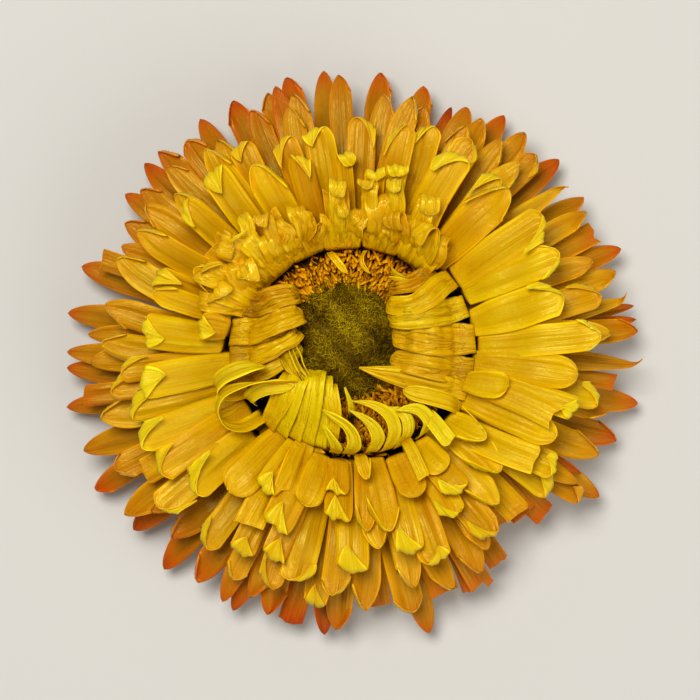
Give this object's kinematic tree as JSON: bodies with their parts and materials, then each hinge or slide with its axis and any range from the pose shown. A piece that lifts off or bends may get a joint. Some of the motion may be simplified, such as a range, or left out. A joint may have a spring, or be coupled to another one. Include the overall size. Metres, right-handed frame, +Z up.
{
  "type": "dried strawflower head",
  "caption": "Dried everlasting flower head: spreading papery bracts in gold and orange round a furry olive disc, inner bracts folded over it, no stem.",
  "frame": {"origin": "middle of the stem scar, on the plane that the head rests on, under the centre of its outline", "axes": "+Z up out of the flower's face, +X to the right and +Y to the top of the picture"},
  "size_m": [0.0729, 0.0717, 0.0211],
  "materials": {
    "orange_bract": "papery, satin, orange to red at the tip",
    "gold_bract": "papery, satin, finely ribbed",
    "lemon_bract": "papery, glossy on the folds, finely ribbed",
    "scale": "dry brown scale",
    "husk": "matt, dry and fibrous",
    "closed_floret": "matt, furry",
    "open_floret": "matt"
  },
  "bodies": {
    "root": {"bract_row_01": "orange_bract", "bract_row_02": "orange_bract", "bract_row_03": "orange_bract", "bract_row_04": "gold_bract", "bract_row_05": "gold_bract", "bract_row_06": "gold_bract", "bract_row_07": "gold_bract", "bract_row_08": "lemon_bract", "bract_row_09": "lemon_bract", "bract_row_10": "lemon_bract", "closed_florets": "closed_floret", "crumpled_bract_1": "gold_bract", "crumpled_bract_2": "gold_bract", "crumpled_bract_3": "gold_bract", "crumpled_bract_4": "gold_bract", "crumpled_bract_5": "gold_bract", "crumpled_bract_6": "gold_bract", "curled_bract_1": "lemon_bract", "curled_bract_2": "lemon_bract", "curled_bract_3": "lemon_bract", "fan_bract_1": "lemon_bract", "fan_bract_2": "lemon_bract", "fan_bract_3": "lemon_bract", "fan_bract_4": "lemon_bract", "fan_bract_5": "lemon_bract", "fan_bract_6": "lemon_bract", "hooked_bract_1": "lemon_bract", "hooked_bract_2": "lemon_bract", "hooked_bract_3": "lemon_bract", "hooked_bract_4": "lemon_bract", "hooked_bract_5": "lemon_bract", "hooked_bract_6": "lemon_bract", "hooked_bract_7": "lemon_bract", "left_inner_bract_1": "gold_bract", "left_inner_bract_2": "gold_bract", "left_inner_bract_3": "gold_bract", "left_inner_bract_4": "gold_bract", "open_florets": "open_floret", "receptacle": "husk", "right_inner_bract_1": "gold_bract", "right_inner_bract_2": "gold_bract", "right_inner_bract_3": "gold_bract", "right_inner_bract_4": "gold_bract", "right_inner_bract_5": "gold_bract", "right_inner_bract_6": "gold_bract", "right_inner_bract_7": "gold_bract", "right_inner_bract_8": "gold_bract", "scale_row_inner": "scale", "scale_row_middle": "scale", "scale_row_outer": "scale", "short_bract_1": "lemon_bract", "short_bract_2": "lemon_bract"}
  },
  "joints": []
}
